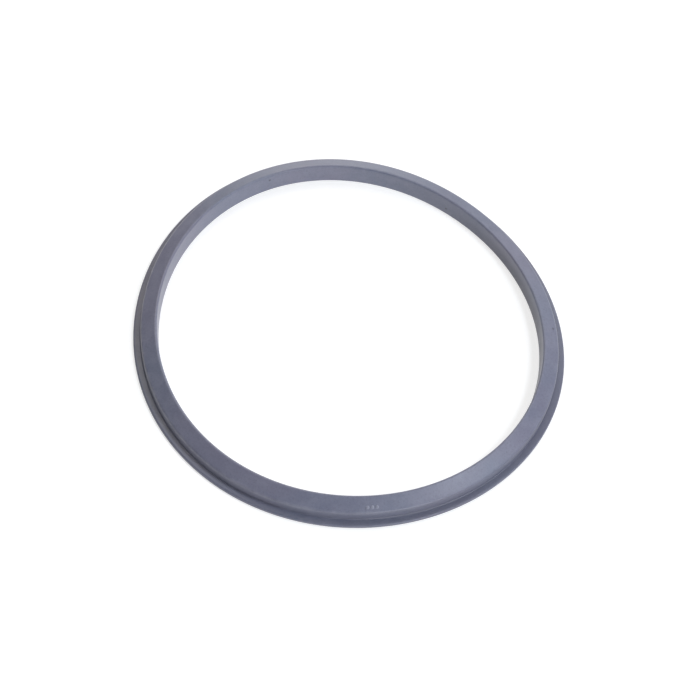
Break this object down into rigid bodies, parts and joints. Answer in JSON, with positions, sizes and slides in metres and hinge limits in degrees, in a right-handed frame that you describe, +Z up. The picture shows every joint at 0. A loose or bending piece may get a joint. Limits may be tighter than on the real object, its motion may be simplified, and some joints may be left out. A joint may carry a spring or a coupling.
{
  "type": "pressure cooker sealing ring",
  "caption": "Moulded rubber sealing ring for a pressure cooker lid: upright bore wall, conical sealing face, rounded shoulder and a thin lip round the foot.",
  "frame": {"origin": "centre of the flat underside, on the ring's axis", "axes": "+Z up along the ring's axis, from the flat underside to the crest of the sealing face; X and Y are free, because the ring is round"},
  "size_m": [0.24, 0.24, 0.012],
  "materials": {
    "ring_rubber": "matt moulded grey silicone rubber with a faint sheen"
  },
  "bodies": {
    "root": {"sealing_ring": "ring_rubber"}
  },
  "joints": []
}
